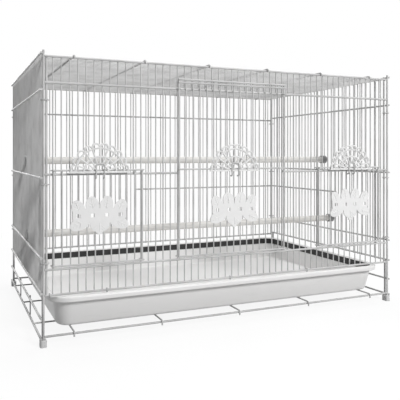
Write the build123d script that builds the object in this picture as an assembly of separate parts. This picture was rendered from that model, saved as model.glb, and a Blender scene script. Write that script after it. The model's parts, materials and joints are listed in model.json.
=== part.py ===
from build123d import *
import math
import os

# White wire bird cage of hook-together panels over a pull-out tray.
# Millimetres. The origin is at the centre of the base, on the floor: +X runs to the right,
# -Y is the front with the three doors, +Z is up.

# Driving dimensions of the cage
front_length = 600.0
side_depth = 400.0
cage_height = 406.0
post_above_rail = 4.0

# Wire sizes, all radii
frame_radius = 1.6
bar_radius = 0.9
cross_rail_radius = 1.4
door_post_radius = 1.3
door_rail_radius = 1.2
runner_radius = 1.2
ring_radius = 0.9
eye_radius = 0.9

# Bars are set out by counting pitches along each panel
front_pitches = 52
side_pitches = 34

# How far the upper rails lie under the side panels' top rails
front_top_drop = 4.0
front_second_drop = 40.0
side_second_drop = 50.0
back_second_drop = 56.0

# Heights of the lower rails, at their centre lines
front_middle_z = 235.5
side_middle_z = 231.0
feeder_rail_z = 187.0
front_lower_z = 105.0
left_lower_z = 121.0
right_lower_z = 109.0
front_bottom_z = 70.0
side_bottom_z = 73.0
base_upper_z = 39.0
base_end_rail_z = 14.0

# Short rail that stiffens the rear right corner, counted in bar pitches
feeder_back_index = 22
feeder_side_index = 13

# Corner posts, from the ends of the front length
post_outset = 1.4
post_inset = 3.0

# Gaps between pieces
sliding_gap = 0.6
seat_gap = 0.3
rail_end_gap = 0.3
socket_gap = 0.1

# Corner rings
ring_heights = (114.0, 222.0, 338.0)
ring_opening_angle = 50.0

# Feet and the short stays beside the posts
foot_width = 9.0
foot_length = 13.0
foot_height = 10.0
foot_corner = 3.0
foot_top_round = 1.5
foot_floor = 3.0
stay_offset = 6.0

# Top panel: its cross rails are spaced in bar pitches and lie midway between front bars
top_rail_count = 6
top_rail_pitches = 9
hook_drop = 2.0

# Base wires that carry the tray
runner_count = 5
runner_pitch = 130.0
cross_wire_pitch = 130.0
runner_stub = 4.0

# Tray, with its room inside the cage and under the front panel's bottom rail
tray_end_gap = 7.0
tray_front_setback = 2.0
tray_back_gap = 13.0
tray_rim_gap = 3.9
tray_wall = 1.8
tray_floor = 2.0
tray_taper = 14.0
tray_corner = 26.0
tray_rim_width = 7.0
tray_rim_skirt = 7.5
tray_floor_fillet = 7.0
tray_rim_round = 1.2

# Perches
perch_radius = 6.0
perch_cap_wall = 2.0
perch_cap_length = 12.0
perch_cap_round = 0.8
perch_cap_overhang = 1.2
perch_socket_depth = 6.0
upper_perch_z = 253.0
lower_perch_z = 133.0
upper_perch_pitch_index = 16
lower_perch_pitch_index = 14

# Doors: their first and last guide bars, counted along the front panel
left_door_first_index = 1
left_door_last_index = 12
middle_door_first_index = 17
middle_door_last_index = 33
right_door_first_index = 39
right_door_last_index = 50

# Heights of the doors' rails above the front panel's lower, middle and second rails
door_bottom_rise = 5.0
door_cross_rail_rise = 5.5
middle_door_top_rise = 14.0
door_double_rail_gap = 4.6

# Ornaments and pulls on the doors, set out from each door's cross rail
ornament_thickness = 2.0
fan_radius = 43.0
fan_ring_width = 2.6
fan_inner_radius = 13.0
fan_middle_radius = 24.5
fan_ray_width = 2.2
fan_ray_count = 9
fan_drop = 4.0
plaque_drop = 63.5
plaque_band_width = 76.0
plaque_band_height = 20.0
plaque_band_corner = 8.0
leaf_pitch = 20.0
inner_leaf_width = 19.0
inner_leaf_height = 28.0
inner_leaf_rise = 13.0
inner_leaf_angle = 10.0
outer_leaf_width = 17.5
outer_leaf_height = 25.0
outer_leaf_rise = 10.0
outer_leaf_angle = 24.0
lower_leaf_width = 29.0
lower_leaf_height = 17.0
lower_leaf_offset = 28.0
lower_leaf_drop = 11.0
lower_leaf_angle = 22.0
plaque_foot_width = 28.0
plaque_foot_height = 24.0
plaque_foot_drop = 12.0
plaque_stem_width = 7.0
plaque_stem_drop = 27.0
plaque_window = 5.4
plaque_window_count = 4
pull_width = 14.0
pull_above_rail = 9.0
pull_below_rail = 11.0
pull_radius = 1.1
pull_bend = 2.5

# Places worked out from the sizes above
half_length = front_length / 2
half_depth = side_depth / 2
side_top_z = cage_height - post_above_rail
front_top_z = side_top_z - front_top_drop
front_second_z = side_top_z - front_second_drop
side_second_z = side_top_z - side_second_drop
back_second_z = side_top_z - back_second_drop
front_pitch = front_length / front_pitches
side_pitch = side_depth / side_pitches
end_rail_y = half_depth - frame_radius
end_post_y = end_rail_y - 2 * frame_radius
end_bar_y = end_rail_y - frame_radius - bar_radius
side_post_x = half_length + post_outset
side_rail_x = side_post_x + 2 * frame_radius
side_bar_x = side_rail_x - frame_radius - bar_radius
end_post_x = half_length - post_inset
end_rail_reach = side_post_x - frame_radius - rail_end_gap
runner_z = base_end_rail_z + frame_radius + runner_radius
cross_wire_z = runner_z - 2 * runner_radius
base_side_rail_z = cross_wire_z - runner_radius - frame_radius
tray_length = front_length - 2 * tray_end_gap
tray_depth = side_depth - tray_front_setback - tray_back_gap
tray_rim_z = front_bottom_z - frame_radius - tray_rim_gap
tray_bottom_z = runner_z + runner_radius + seat_gap
tray_centre_y = tray_front_setback - half_depth + tray_depth / 2
cap_outer_x = side_bar_x + bar_radius + perch_cap_overhang
cap_inner_x = cap_outer_x - perch_cap_length
door_post_y = -(half_depth + sliding_gap + door_post_radius)
door_rail_y = door_post_y - door_post_radius - door_rail_radius
door_bar_y = door_rail_y + door_rail_radius + bar_radius
left_door_bars = (left_door_first_index, left_door_last_index)
middle_door_bars = (middle_door_first_index, middle_door_last_index)
right_door_bars = (right_door_first_index, right_door_last_index)
door_bottom_z = front_lower_z + door_bottom_rise
door_cross_rail_z = front_middle_z + door_cross_rail_rise
middle_door_top_z = front_second_z + middle_door_top_rise
fan_base_z = door_cross_rail_z - fan_drop
plaque_centre_z = door_cross_rail_z - plaque_drop
pull_bottom_z = door_cross_rail_z - pull_below_rail
pull_top_z = door_cross_rail_z + pull_above_rail


def wire_x(start, end, y, z, radius):
    """Straight round wire along X."""
    return Solid.make_cylinder(radius, end - start, Plane(origin=(start, y, z), z_dir=(1, 0, 0)))


def wire_y(start, end, x, z, radius):
    """Straight round wire along Y."""
    return Solid.make_cylinder(radius, end - start, Plane(origin=(x, start, z), z_dir=(0, 1, 0)))


def wire_z(start, end, x, y, radius):
    """Straight round wire along Z."""
    return Solid.make_cylinder(radius, end - start, Plane(origin=(x, y, start)))


def bent_wire(path, radius):
    """Round wire along a curve made of lines and arcs."""
    section = Plane(origin=path @ 0, z_dir=path % 0) * Circle(radius)
    return sweep(section, path=path).solid()


def save(name, solids):
    """Write one sub-part, as one solid or as a group of separate solids."""
    flat = []
    for item in solids:
        flat.extend(item.solids())
    shape = flat[0] if len(flat) == 1 else Compound(flat)
    export_step(shape, f"parts/{name}.step")


def bar_x(index):
    """Place of a bar along the front and back panels."""
    return -half_length + index * front_pitch


def bar_side_y(index):
    """Place of a bar along the side panels."""
    return -half_depth + index * side_pitch


def side_panel_frame(side, lower_rail_z):
    """Two posts, the stays beside their feet and the long rails of one side panel."""
    wires = []
    x = side * side_post_x
    stay_top = side_bottom_z + frame_radius
    for end in (-1, 1):
        post_y = end * end_rail_y
        stay_y = end * (end_rail_y - stay_offset)
        wires.append(wire_z(foot_floor, cage_height, x, post_y, frame_radius))
        wires.append(wire_z(foot_floor, stay_top, x, stay_y, frame_radius))
    for z in (side_bottom_z, lower_rail_z, side_middle_z, side_second_z, side_top_z):
        wires.append(wire_y(-half_depth, half_depth, side * side_rail_x, z, frame_radius))
    return wires


def side_panel_bars(side):
    """Thin upright bars of one side panel."""
    low = side_bottom_z - frame_radius
    high = side_top_z + frame_radius
    return [
        wire_z(low, high, side * side_bar_x, bar_side_y(index), bar_radius)
        for index in range(1, side_pitches)
    ]


def base_side_rails(side):
    """Two low rails between the legs of one side, with short uprights between them."""
    wires = []
    for z in (base_side_rail_z, base_upper_z):
        wires.append(wire_y(-half_depth, half_depth, side * side_rail_x, z, frame_radius))
    for place in (-1, 1):
        y = place * cross_wire_pitch / 2
        low = base_side_rail_z - frame_radius
        high = base_upper_z + frame_radius
        wires.append(wire_z(low, high, side * side_bar_x, y, bar_radius))
    return wires


def back_panel_frame():
    """Posts and rails of the back panel, with the short stiffening rail at its right."""
    wires = []
    low = front_bottom_z - frame_radius
    high = front_top_z + frame_radius
    for side in (-1, 1):
        wires.append(wire_z(low, high, side * end_post_x, end_post_y, frame_radius))
    for z in (front_bottom_z, front_lower_z, back_second_z, front_top_z):
        wires.append(wire_x(-end_rail_reach, end_rail_reach, end_rail_y, z, frame_radius))
    start = bar_x(feeder_back_index) - bar_radius
    wires.append(wire_x(start, end_rail_reach, end_rail_y, feeder_rail_z, frame_radius))
    return wires


def feeder_side_rail():
    """Short stiffening rail on the right side panel, from its rear post forward."""
    start = bar_side_y(feeder_side_index) - bar_radius
    return wire_y(start, half_depth, side_rail_x, feeder_rail_z, frame_radius)


def back_panel_bars():
    """Thin upright bars of the back panel."""
    low = front_bottom_z - frame_radius
    high = front_top_z + frame_radius
    return [
        wire_z(low, high, bar_x(index), end_bar_y, bar_radius)
        for index in range(1, front_pitches)
    ]


def front_panel_frame():
    """Posts and rails of the front panel. The middle rail stops at the middle door."""
    wires = []
    low = front_bottom_z - frame_radius
    high = front_top_z + frame_radius
    for side in (-1, 1):
        wires.append(wire_z(low, high, side * end_post_x, -end_post_y, frame_radius))
    for z in (front_bottom_z, front_lower_z, front_second_z, front_top_z):
        wires.append(wire_x(-end_rail_reach, end_rail_reach, -end_rail_y, z, frame_radius))
    first, last = middle_door_bars
    left_end = bar_x(first) + bar_radius
    right_end = bar_x(last) - bar_radius
    wires.append(wire_x(-end_rail_reach, left_end, -end_rail_y, front_middle_z, frame_radius))
    wires.append(wire_x(right_end, end_rail_reach, -end_rail_y, front_middle_z, frame_radius))
    return wires


def opening_top(index):
    """Height of the rail above the door opening at a bar, or nothing where no door is."""
    for first, last in (left_door_bars, right_door_bars):
        if first < index < last:
            return front_middle_z
    if middle_door_bars[0] < index < middle_door_bars[1]:
        return front_second_z
    return None


def front_panel_bars():
    """Thin upright bars of the front panel, cut away at the three door openings."""
    low = front_bottom_z - frame_radius
    high = front_top_z + frame_radius
    bars = []
    for index in range(1, front_pitches):
        rail_above = opening_top(index)
        if rail_above is None:
            bars.append(wire_z(low, high, bar_x(index), -end_bar_y, bar_radius))
        else:
            sill = front_lower_z + frame_radius
            head = rail_above - frame_radius
            bars.append(wire_z(low, sill, bar_x(index), -end_bar_y, bar_radius))
            bars.append(wire_z(head, high, bar_x(index), -end_bar_y, bar_radius))
    return bars


def top_panel_rails():
    """Cross rails of the top panel. Their ends hook over the front and back top rails."""
    bend = frame_radius + cross_rail_radius
    reach = end_rail_y + bend
    top_z = front_top_z + bend
    low_z = front_top_z - hook_drop
    rails = []
    for number in range(top_rail_count):
        x = (number - (top_rail_count - 1) / 2) * top_rail_pitches * front_pitch
        path = FilletPolyline(
            (x, -reach, low_z), (x, -reach, top_z), (x, reach, top_z), (x, reach, low_z), radius=bend
        )
        rails.append(bent_wire(path, cross_rail_radius))
    return rails


def top_panel_bars():
    """Thin bars of the top panel, welded under its cross rails."""
    z = front_top_z + frame_radius - bar_radius
    return [
        wire_x(-half_length, half_length, bar_side_y(index), z, bar_radius)
        for index in range(1, side_pitches)
    ]


def corner_rings():
    """Open wire rings that tie the end panels to the side panels at each corner."""
    spread_x = (side_post_x - end_post_x) / 2
    spread_y = (end_rail_y - end_post_y) / 2
    ring_size = math.hypot(spread_x, spread_y) + frame_radius + ring_radius
    rings = []
    for side in (-1, 1):
        for end in (-1, 1):
            centre_x = side * (side_post_x - spread_x)
            centre_y = end * (end_rail_y - spread_y)
            facing = math.degrees(math.atan2(-end, -side))
            for z in ring_heights:
                path = CenterArc(
                    (centre_x, centre_y, z),
                    ring_size,
                    facing + ring_opening_angle / 2,
                    360 - ring_opening_angle,
                )
                rings.append(bent_wire(path, ring_radius))
    return rings


def feet():
    """Rounded feet, each with two sockets for the post and the stay beside it."""
    caps = []
    for side in (-1, 1):
        for end in (-1, 1):
            x = side * side_post_x
            post_y = end * end_rail_y
            stay_y = end * (end_rail_y - stay_offset)
            centre = Pos(x, (post_y + stay_y) / 2, foot_height / 2)
            block = centre * Box(foot_width, foot_length, foot_height)
            block = fillet(block.edges().filter_by(Axis.Z), foot_corner)
            block = fillet(block.faces().sort_by(Axis.Z)[-1].edges(), foot_top_round)
            for y in (post_y, stay_y):
                socket = Pos(x, y, foot_floor + foot_height / 2) * Cylinder(frame_radius, foot_height)
                block = block - socket
            caps.append(block.solid())
    return caps


def base_end_rails():
    """Low rails along the front and the back, between the corner posts."""
    return [
        wire_x(-end_rail_reach, end_rail_reach, end * end_rail_y, base_end_rail_z, frame_radius)
        for end in (-1, 1)
    ]


def base_runners():
    """Wires from back to front that the tray slides on, bent down over the end rails."""
    reach = end_rail_y + frame_radius + runner_radius
    low_z = base_end_rail_z - runner_stub
    runners = []
    for number in range(runner_count):
        x = (number - (runner_count - 1) / 2) * runner_pitch
        path = FilletPolyline(
            (x, -reach, low_z), (x, -reach, runner_z), (x, reach, runner_z), (x, reach, low_z),
            radius=frame_radius + runner_radius,
        )
        runners.append(bent_wire(path, runner_radius))
    return runners


def base_cross_wires():
    """Wires from side to side under the runners, lying on the lower side rails."""
    return [
        wire_x(-side_rail_x, side_rail_x, place * cross_wire_pitch, cross_wire_z, runner_radius)
        for place in (-1, 0, 1)
    ]


def rounded_slab(length, depth, corner, z):
    """Rounded rectangle at a height, centred on the tray."""
    return Plane(origin=(0, tray_centre_y, z)) * RectangleRounded(length, depth, corner)


def tray():
    """Drawn tray with tapered walls, a rounded floor and a rim turned down all round."""
    top_length = tray_length - 2 * tray_rim_width
    top_depth = tray_depth - 2 * tray_rim_width
    low_length = top_length - 2 * tray_taper
    low_depth = top_depth - 2 * tray_taper
    outer = loft([
        rounded_slab(low_length, low_depth, tray_corner - tray_rim_width, tray_bottom_z),
        rounded_slab(top_length, top_depth, tray_corner, tray_rim_z),
    ])
    outer = fillet(outer.faces().sort_by(Axis.Z)[0].edges(), tray_floor_fillet)
    rim = extrude(
        rounded_slab(tray_length, tray_depth, tray_corner + tray_rim_width, tray_rim_z),
        amount=-tray_rim_skirt,
    )
    rim = fillet(rim.faces().sort_by(Axis.Z)[-1].edges(), tray_rim_round)
    under_rim = extrude(
        rounded_slab(
            tray_length - 2 * tray_wall,
            tray_depth - 2 * tray_wall,
            tray_corner + tray_rim_width - tray_wall,
            tray_rim_z - tray_wall,
        ),
        amount=-tray_rim_skirt,
    )
    inside = loft([
        rounded_slab(
            low_length - 2 * tray_wall,
            low_depth - 2 * tray_wall,
            tray_corner - tray_rim_width - tray_wall,
            tray_bottom_z + tray_floor,
        ),
        rounded_slab(
            top_length - 2 * tray_wall,
            top_depth - 2 * tray_wall,
            tray_corner - tray_wall,
            tray_rim_z,
        ),
    ])
    inside = fillet(inside.faces().sort_by(Axis.Z)[0].edges(), tray_floor_fillet - tray_floor)
    return (((rim - under_rim) + outer) - inside).solid()


def perch(index, z):
    """Round wooden dowel across the cage, ending inside its two caps."""
    reach = cap_inner_x + perch_socket_depth - socket_gap
    return wire_x(-reach, reach, bar_side_y(index), z, perch_radius)


def perch_caps(index, z):
    """Cup-shaped perch ends. A slot in each outer face grips one side bar."""
    caps = []
    y = bar_side_y(index)
    for side in (-1, 1):
        face = Plane(origin=(side * cap_outer_x, y, z), z_dir=(-side, 0, 0))
        body = extrude(face * Circle(perch_radius + perch_cap_wall), amount=perch_cap_length)
        body = fillet(body.edges(), perch_cap_round)
        mouth = Plane(origin=(side * cap_inner_x, y, z), z_dir=(side, 0, 0))
        body = body - extrude(mouth * Circle(perch_radius + socket_gap), amount=perch_socket_depth)
        slot_depth = cap_outer_x - side_bar_x + bar_radius
        slot_x = side * (cap_outer_x - slot_depth / 2)
        slot_height = 2 * (perch_radius + perch_cap_wall)
        body = body - Pos(slot_x, y, z) * Box(slot_depth, 2 * bar_radius, slot_height)
        caps.append(body.solid())
    return caps


def eye(x, from_y, around_y, z, wire_inside):
    """U-shaped loop that starts on a rail and passes round an upright wire with a sliding gap."""
    half_width = wire_inside + sliding_gap + eye_radius
    direction = 1 if around_y > from_y else -1
    near_left = (x - half_width, from_y, z)
    far_left = (x - half_width, around_y, z)
    tip = (x, around_y + direction * half_width, z)
    far_right = (x + half_width, around_y, z)
    near_right = (x + half_width, from_y, z)
    path = Wire([
        Line(near_left, far_left).edge(),
        ThreePointArc(far_left, tip, far_right).edge(),
        Line(far_right, near_right).edge(),
    ])
    return bent_wire(path, eye_radius)


def door_frame(bars, rail_heights):
    """Two thick posts joined by the cross rails of one door."""
    first, last = bars
    low = rail_heights[0] - door_rail_radius
    high = rail_heights[-1] + door_rail_radius
    wires = [wire_z(low, high, bar_x(index), door_post_y, door_post_radius) for index in bars]
    for z in rail_heights:
        start = bar_x(first) - door_post_radius
        end = bar_x(last) + door_post_radius
        wires.append(wire_x(start, end, door_rail_y, z, door_rail_radius))
    return wires


def door_bars(bars, rail_heights):
    """Thin upright bars of one door, in line with the bars of the panel."""
    first, last = bars
    low = rail_heights[0] - door_rail_radius
    high = rail_heights[-1] + door_rail_radius
    return [
        wire_z(low, high, bar_x(index), door_bar_y, bar_radius)
        for index in range(first + 1, last)
    ]


def door_eyes(bars, heights):
    """Guide eyes of one door, which slide on two upright bars of the front panel."""
    start_y = door_rail_y + door_rail_radius
    return [eye(bar_x(index), start_y, -end_bar_y, z, bar_radius) for z in heights for index in bars]


def middle_door_guides():
    """Loops on the second rail of the front panel that hold the posts of the middle door."""
    start_y = -half_depth
    return [
        eye(bar_x(index), start_y, door_post_y, front_second_z, door_post_radius)
        for index in middle_door_bars
    ]


def door_centre(bars):
    """Middle of a door along the front."""
    return (bar_x(bars[0]) + bar_x(bars[1])) / 2


def sunburst(bars):
    """Half-round open fan on a straight base strip, with a scallop beyond each gap of its rays."""
    back_y = door_rail_y - door_rail_radius
    plane = Plane(origin=(door_centre(bars), back_y, fan_base_z), x_dir=(1, 0, 0), z_dir=(0, -1, 0))
    gap_angle = 180 / (fan_ray_count + 1)
    scallop_radius = fan_radius * math.sin(math.radians(gap_angle / 2))
    rim_radius = fan_radius - scallop_radius
    scallop = Circle(scallop_radius) - Circle(scallop_radius - fan_ring_width)
    outline = Circle(rim_radius)
    for number in range(fan_ray_count + 1):
        outline += Rot(0, 0, (number + 0.5) * gap_angle) * Pos(rim_radius, 0) * scallop
    outline -= Circle(rim_radius - fan_ring_width)
    for radius in (fan_inner_radius, fan_middle_radius):
        outline += Circle(radius) - Circle(radius - fan_ring_width)
    middle = (fan_inner_radius + rim_radius - fan_ring_width) / 2
    for number in range(1, fan_ray_count + 1):
        ray = Rectangle(rim_radius - fan_inner_radius, fan_ray_width)
        outline += Rot(0, 0, number * gap_angle) * Pos(middle, 0) * ray
    upper_half = Pos(0, fan_radius / 2) * Rectangle(2 * fan_radius, fan_radius)
    strip = Pos(0, fan_ring_width / 2) * Rectangle(2 * fan_radius, fan_ring_width)
    outline = (outline & upper_half) + strip
    return extrude(plane * outline, amount=ornament_thickness)


def leaf(width, height, x, z, angle):
    """Flat oval leaf, tilted outward on both sides of the plaque's middle."""
    shape = Ellipse(width / 2, height / 2)
    return [Pos(side * x, z) * Rot(0, 0, -side * angle) * shape for side in (-1, 1)]


def leaf_plaque(bars):
    """Flat cluster of leaves above and below a band, with square openings and a short stem."""
    back_y = door_bar_y - bar_radius
    plane = Plane(
        origin=(door_centre(bars), back_y, plaque_centre_z), x_dir=(1, 0, 0), z_dir=(0, -1, 0)
    )
    inner_x = leaf_pitch / 2
    outer_x = inner_x + leaf_pitch
    leaves = leaf(inner_leaf_width, inner_leaf_height, inner_x, inner_leaf_rise, inner_leaf_angle)
    leaves += leaf(outer_leaf_width, outer_leaf_height, outer_x, outer_leaf_rise, outer_leaf_angle)
    leaves += leaf(
        lower_leaf_width, lower_leaf_height, lower_leaf_offset, -lower_leaf_drop, lower_leaf_angle
    )
    outline = RectangleRounded(plaque_band_width, plaque_band_height, plaque_band_corner)
    for shape in leaves:
        outline += shape
    outline += Pos(0, -plaque_foot_drop) * Ellipse(plaque_foot_width / 2, plaque_foot_height / 2)
    outline += Pos(0, -plaque_stem_drop / 2) * Rectangle(plaque_stem_width, plaque_stem_drop)
    for number in range(plaque_window_count):
        place = (number - (plaque_window_count - 1) / 2) * leaf_pitch
        outline -= Pos(place, 0) * Rectangle(plaque_window, plaque_window)
    return extrude(plane * outline, amount=ornament_thickness)


def finger_pull(bars):
    """Small staple for a finger at the middle of a door. Its feet reach back to the bars."""
    x = door_centre(bars)
    left = x - pull_width / 2 + pull_radius
    right = x + pull_width / 2 - pull_radius
    back_y = door_bar_y - bar_radius
    front_y = door_rail_y - door_rail_radius - ornament_thickness - pull_radius
    path = FilletPolyline(
        (left, back_y, pull_bottom_z),
        (left, front_y, pull_bottom_z),
        (left, front_y, pull_top_z),
        (right, front_y, pull_top_z),
        (right, front_y, pull_bottom_z),
        (right, back_y, pull_bottom_z),
        radius=pull_bend,
    )
    return bent_wire(path, pull_radius)


def build_cage():
    """Write the fixed wirework of the cage."""
    for name, side, lower_rail_z in (("left", -1, left_lower_z), ("right", 1, right_lower_z)):
        frame = side_panel_frame(side, lower_rail_z)
        if side > 0:
            frame.append(feeder_side_rail())
        save(f"{name}_panel_frame", frame)
        save(f"{name}_panel_bars", side_panel_bars(side))
        save(f"{name}_base_rails", base_side_rails(side))
    save("back_panel_frame", back_panel_frame())
    save("back_panel_bars", back_panel_bars())
    save("front_panel_frame", front_panel_frame())
    save("front_panel_bars", front_panel_bars())
    save("middle_door_guides", middle_door_guides())
    save("top_panel_rails", top_panel_rails())
    save("top_panel_bars", top_panel_bars())
    save("corner_rings", corner_rings())
    save("feet", feet())
    save("base_end_rails", base_end_rails())
    save("base_runners", base_runners())
    save("base_cross_wires", base_cross_wires())


def build_fittings():
    """Write the tray and the two perches."""
    save("tray", [tray()])
    for name, index, z in (
        ("upper_perch", upper_perch_pitch_index, upper_perch_z),
        ("lower_perch", lower_perch_pitch_index, lower_perch_z),
    ):
        save(name, [perch(index, z)])
        save(f"{name}_caps", perch_caps(index, z))


def build_doors():
    """Write the three doors with their eyes, ornaments and pulls."""
    low = door_bottom_z
    side_rails = (low, door_cross_rail_z)
    upper_rail_z = middle_door_top_z - door_double_rail_gap
    middle_rails = (low, door_cross_rail_z, upper_rail_z, middle_door_top_z)
    doors = (
        ("left_door", left_door_bars, side_rails, side_rails),
        ("middle_door", middle_door_bars, middle_rails, (low,)),
        ("right_door", right_door_bars, side_rails, side_rails),
    )
    for name, bars, rails, eyes in doors:
        save(f"{name}_frame", door_frame(bars, rails))
        save(f"{name}_bars", door_bars(bars, rails))
        save(f"{name}_eyes", door_eyes(bars, eyes))
        save(f"{name}_sunburst", [sunburst(bars)])
        save(f"{name}_leaf_plaque", [leaf_plaque(bars)])
        save(f"{name}_pull", [finger_pull(bars)])


os.makedirs("parts", exist_ok=True)
build_cage()
build_fittings()
build_doors()
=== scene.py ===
"""Looks of the white wire bird cage: finishes, welds, ornaments and a plain studio around the frame."""
import json
import logging
import math
from dataclasses import dataclass, field
from enum import Enum
from typing import Any, Iterable, Optional, Union

import bmesh
import bpy
import numpy as np
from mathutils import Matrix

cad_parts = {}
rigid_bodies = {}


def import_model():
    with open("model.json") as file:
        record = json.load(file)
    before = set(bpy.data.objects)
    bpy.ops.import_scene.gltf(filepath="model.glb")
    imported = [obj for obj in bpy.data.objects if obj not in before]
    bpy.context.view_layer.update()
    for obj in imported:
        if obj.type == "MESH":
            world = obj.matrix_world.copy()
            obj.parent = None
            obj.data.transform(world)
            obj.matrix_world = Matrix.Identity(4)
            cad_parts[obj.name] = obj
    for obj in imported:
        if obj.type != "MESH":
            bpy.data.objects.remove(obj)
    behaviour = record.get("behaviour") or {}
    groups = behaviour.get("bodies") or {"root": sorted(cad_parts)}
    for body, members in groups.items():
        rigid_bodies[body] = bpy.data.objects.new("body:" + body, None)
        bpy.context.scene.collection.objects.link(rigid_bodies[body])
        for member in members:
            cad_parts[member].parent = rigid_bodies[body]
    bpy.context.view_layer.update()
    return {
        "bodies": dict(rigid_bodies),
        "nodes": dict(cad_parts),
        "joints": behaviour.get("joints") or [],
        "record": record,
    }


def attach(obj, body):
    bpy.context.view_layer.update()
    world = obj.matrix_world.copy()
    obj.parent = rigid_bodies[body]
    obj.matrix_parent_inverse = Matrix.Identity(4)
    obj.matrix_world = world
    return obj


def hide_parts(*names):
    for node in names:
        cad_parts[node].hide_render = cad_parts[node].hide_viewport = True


LOG = logging.getLogger("bird_cage")
MILLIMETRE = 0.001
PHOTO_SIZE = 400.0
SENSOR_MM = 36.0
MERGE_DISTANCE = 0.000002
SHARP_ANGLE = 35.0
ROUNDNESS = 1.3


class Body(Enum):
    """The rigid bodies of the cage."""

    CAGE = "cage"
    LEFT_DOOR = "left_door"
    MIDDLE_DOOR = "middle_door"
    RIGHT_DOOR = "right_door"
    TRAY = "tray"


class Axis(Enum):
    """The direction in which a straight wire runs."""

    X = 0
    Y = 1
    Z = 2


Number = Union[float, int, "Value"]


@dataclass(frozen=True)
class Cloud:
    """One cloudy noise: its cloud size in metres, its finer layers and each direction's scale."""

    size: float
    detail: float
    stretch: tuple[float, float, float] = (1.0, 1.0, 1.0)
    roughness: float = 0.55


@dataclass(frozen=True)
class Bump:
    """The height in metres of a bump of one, and how much of its slant is used."""

    depth: float
    strength: float


class Value:
    """A number that leaves a shader node, written as a Python expression."""

    def __init__(self, shader: "Shader", socket: bpy.types.NodeSocket) -> None:
        """Keeps the shader that owns the socket.

        Args:
            shader: The shader whose node gives the number.
            socket: The output socket.
        """
        self.shader = shader
        self.socket = socket

    def _join(self, operation: str, first: Number, second: Number = 0.0) -> "Value":
        """Adds one Math node.

        Args:
            operation: The Math node's operation.
            first: Its first number.
            second: Its second number.

        Returns:
            The result of the node.
        """
        node = self.shader.add("ShaderNodeMath", {"operation": operation}, {0: first, 1: second})
        return Value(self.shader, node.outputs[0])

    def __add__(self, other: Number) -> "Value":
        """Sum."""
        return self._join("ADD", self, other)

    __radd__ = __add__

    def __mul__(self, other: Number) -> "Value":
        """Product."""
        return self._join("MULTIPLY", self, other)

    def __sub__(self, other: Number) -> "Value":
        """Difference."""
        return self._join("SUBTRACT", self, other)

    def __rsub__(self, other: Number) -> "Value":
        """Difference with the number first."""
        return self._join("SUBTRACT", other, self)

    def __truediv__(self, other: Number) -> "Value":
        """Quotient."""
        return self._join("DIVIDE", self, other)

    def above(self, edge: float) -> "Value":
        """One where the number passes the edge, and nought elsewhere."""
        return self._join("GREATER_THAN", self, edge)

    def clipped(self) -> "Value":
        """The number held between nought and one."""
        return self._join("MINIMUM", self._join("MAXIMUM", self, 0.0), 1.0)


class Shader:
    """A node material that is filled through one method."""

    def __init__(self, name: str) -> None:
        """Starts a material with a Principled shader on its output.

        Args:
            name: The material's name.
        """
        self.material = bpy.data.materials.new(name)
        self.material.use_nodes = True
        self.tree = self.material.node_tree
        self.tree.nodes.clear()
        self.output = self.tree.nodes.new("ShaderNodeOutputMaterial")
        self.surface = self.tree.nodes.new("ShaderNodeBsdfPrincipled")
        self.tree.links.new(self.surface.outputs[0], self.output.inputs["Surface"])

    def set(self, node: bpy.types.Node, inputs: dict[Any, Any]) -> None:
        """Gives a node's sockets their values or links.

        Args:
            node: The node to fill.
            inputs: Socket names or places, each with a number, colour, socket or Value.
        """
        for key, given in inputs.items():
            if isinstance(given, Value):
                self.tree.links.new(given.socket, node.inputs[key])
            elif isinstance(given, bpy.types.NodeSocket):
                self.tree.links.new(given, node.inputs[key])
            else:
                node.inputs[key].default_value = given

    def add(
        self,
        kind: str,
        settings: Optional[dict[str, Any]] = None,
        inputs: Optional[dict[Any, Any]] = None,
    ) -> bpy.types.Node:
        """Adds one node of any type.

        Args:
            kind: The node's type.
            settings: Its properties.
            inputs: What its sockets take.

        Returns:
            The new node.
        """
        node = self.tree.nodes.new(kind)
        for name, given in (settings or {}).items():
            setattr(node, name, given)
        self.set(node, inputs or {})
        return node

    def place(self, scale: tuple[float, float, float] = (1.0, 1.0, 1.0)) -> bpy.types.NodeSocket:
        """Object coordinates, stretched.

        Args:
            scale: How much each direction is multiplied.

        Returns:
            The stretched coordinates.
        """
        source = self.add("ShaderNodeTexCoord")
        mapping = self.add("ShaderNodeMapping", None, {"Vector": source.outputs["Object"], "Scale": scale})
        return mapping.outputs["Vector"]

    def noise(self, cloud: Cloud) -> Value:
        """Cloudy noise.

        Args:
            cloud: Its measures.

        Returns:
            The noise, from nought to one.
        """
        node = self.add(
            "ShaderNodeTexNoise",
            {"noise_dimensions": "3D"},
            {
                "Vector": self.place(cloud.stretch),
                "Scale": 1.0 / cloud.size,
                "Detail": cloud.detail,
                "Roughness": cloud.roughness,
            },
        )
        return Value(self, node.outputs[0])

    def blend(self, amount: Value, first: tuple[float, ...], second: tuple[float, ...]) -> Any:
        """Mixes two colours.

        Args:
            amount: Nought for the first colour and one for the second.
            first: A colour of four numbers.
            second: A colour of four numbers.

        Returns:
            The mixed colour.
        """
        node = self.add("ShaderNodeMix", {"data_type": "RGBA"}, {"Factor": amount, 6: first, 7: second})
        return node.outputs[2]

    def bump(self, height: Value, bump: Bump) -> bpy.types.NodeSocket:
        """Turns a height into a slanted surface.

        Args:
            height: The height, from nought to one.
            bump: Its depth and strength.

        Returns:
            The normal.
        """
        inputs = {"Height": height, "Distance": bump.depth, "Strength": bump.strength}
        return self.add("ShaderNodeBump", None, inputs).outputs["Normal"]

    def paint(self, colour: Any, roughness: Number, normal: bpy.types.NodeSocket, shine: float) -> None:
        """Fills the Principled shader.

        Args:
            colour: The base colour.
            roughness: The roughness.
            normal: The bumped normal.
            shine: The specular level.
        """
        self.set(
            self.surface,
            {"Base Color": colour, "Roughness": roughness, "Normal": normal, "Specular IOR Level": shine},
        )


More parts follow.
